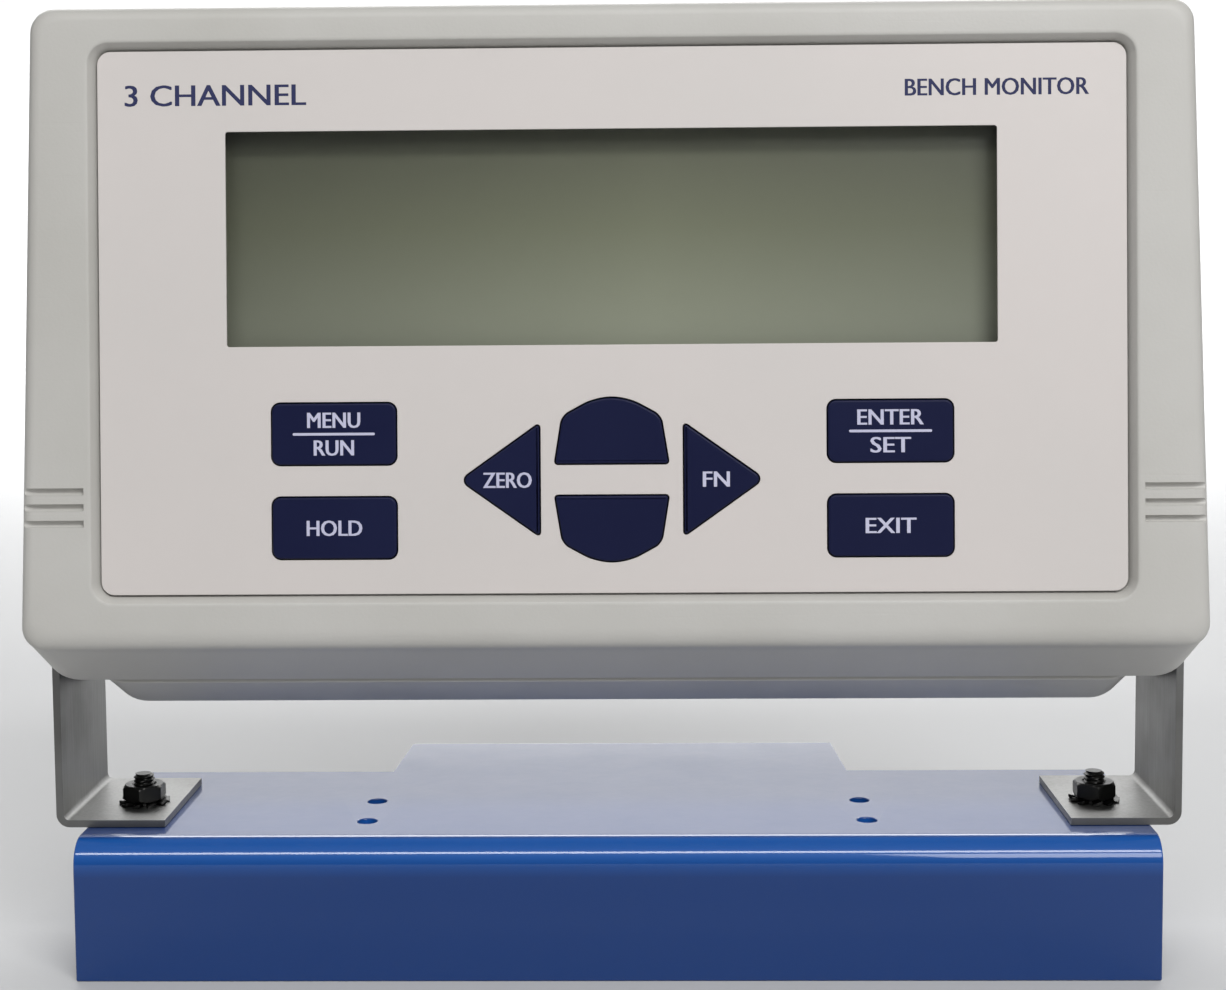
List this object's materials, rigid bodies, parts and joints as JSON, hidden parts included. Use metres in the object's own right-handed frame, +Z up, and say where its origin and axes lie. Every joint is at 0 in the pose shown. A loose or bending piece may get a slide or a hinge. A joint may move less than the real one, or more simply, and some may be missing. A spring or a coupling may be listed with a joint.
{
  "type": "bench pressure monitor",
  "caption": "Bench pressure monitor: a keypad and display case that tilts between two straps bolted to a folded sheet-metal base plate.",
  "frame": {"origin": "middle of the object's footprint, on the surface that it stands on", "axes": "+X to the reader's right, +Y away from the reader, +Z up"},
  "size_m": [0.2106, 0.0852, 0.1697],
  "materials": {
    "base_paint": "glossy blue powder coat",
    "bare_steel": "bare grey sheet",
    "dark_steel": "blackened",
    "case_plastic": "fine moulded grain, warm light grey",
    "panel_film": "satin printed film",
    "key_navy": "satin",
    "clear_pane": "clear",
    "display_olive": "unlit grey-green display",
    "board_green": "solder mask",
    "terminal_green": "moulded",
    "black_plastic": "moulded",
    "black_rubber": "matt",
    "insert_brass": "turned",
    "nickel_plate": "satin nickel"
  },
  "bodies": {
    "stand": {"base_plate": "base_paint", "strap_left": "bare_steel", "strap_right": "bare_steel", "foot_bolt_left": "dark_steel", "foot_bolt_right": "dark_steel", "lock_washer_left": "dark_steel", "lock_washer_right": "dark_steel", "foot_nut_left": "dark_steel", "foot_nut_right": "dark_steel"},
    "monitor": {"front_shell": "case_plastic", "rear_shell": "case_plastic", "case_seal": "black_rubber", "front_panel": "panel_film", "key_dome_sheet": "black_rubber", "display_pane": "clear_pane", "display_frame": "black_plastic", "display_glass": "display_olive", "display_board": "board_green", "main_board": "board_green", "sounder": "black_plastic", "board_post_lower_left": "nickel_plate", "board_post_lower_right": "nickel_plate", "board_post_upper_left": "nickel_plate", "board_post_upper_right": "nickel_plate", "case_screw_lower_left": "dark_steel", "case_screw_lower_right": "dark_steel", "case_screw_upper_left": "dark_steel", "case_screw_upper_right": "dark_steel", "connector_plate": "black_plastic", "sensor_socket_1": "nickel_plate", "sensor_socket_2": "nickel_plate", "sensor_socket_3": "nickel_plate", "serial_port": "nickel_plate", "terminal_block": "terminal_green", "power_jack": "black_plastic", "side_spacer_left": "black_plastic", "side_spacer_right": "black_plastic", "pivot_insert_left": "insert_brass", "pivot_insert_right": "insert_brass", "pivot_washer_left": "nickel_plate", "pivot_washer_right": "nickel_plate", "pivot_knob_left": "black_plastic", "pivot_knob_right": "black_plastic"},
    "menu_key": {"key_menu": "key_navy"},
    "hold_key": {"key_hold": "key_navy"},
    "enter_key": {"key_enter": "key_navy"},
    "exit_key": {"key_exit": "key_navy"},
    "up_key": {"key_up": "key_navy"},
    "down_key": {"key_down": "key_navy"},
    "zero_key": {"key_zero": "key_navy"},
    "shift_key": {"key_shift": "key_navy"}
  },
  "joints": [
    {"name": "tilt", "type": "hinge", "parent": "stand", "child": "monitor", "pos_m": [0, -0.00996, 0.109], "axis": [-1, 0, 0], "range_deg": [-4, 25]},
    {"name": "menu_press", "type": "slide", "parent": "monitor", "child": "menu_key", "axis": [0, 0.9976, -0.0698], "range_m": [0, 0.0005], "stiffness_N_per_m": 600, "springref_m": -0.0008},
    {"name": "hold_press", "type": "slide", "parent": "monitor", "child": "hold_key", "axis": [0, 0.9976, -0.0698], "range_m": [0, 0.0005], "stiffness_N_per_m": 600, "springref_m": -0.0008},
    {"name": "enter_press", "type": "slide", "parent": "monitor", "child": "enter_key", "axis": [0, 0.9976, -0.0698], "range_m": [0, 0.0005], "stiffness_N_per_m": 600, "springref_m": -0.0008},
    {"name": "exit_press", "type": "slide", "parent": "monitor", "child": "exit_key", "axis": [0, 0.9976, -0.0698], "range_m": [0, 0.0005], "stiffness_N_per_m": 600, "springref_m": -0.0008},
    {"name": "up_press", "type": "slide", "parent": "monitor", "child": "up_key", "axis": [0, 0.9976, -0.0698], "range_m": [0, 0.0005], "stiffness_N_per_m": 600, "springref_m": -0.0008},
    {"name": "down_press", "type": "slide", "parent": "monitor", "child": "down_key", "axis": [0, 0.9976, -0.0698], "range_m": [0, 0.0005], "stiffness_N_per_m": 600, "springref_m": -0.0008},
    {"name": "zero_press", "type": "slide", "parent": "monitor", "child": "zero_key", "axis": [0, 0.9976, -0.0698], "range_m": [0, 0.0005], "stiffness_N_per_m": 600, "springref_m": -0.0008},
    {"name": "shift_press", "type": "slide", "parent": "monitor", "child": "shift_key", "axis": [0, 0.9976, -0.0698], "range_m": [0, 0.0005], "stiffness_N_per_m": 600, "springref_m": -0.0008}
  ]
}
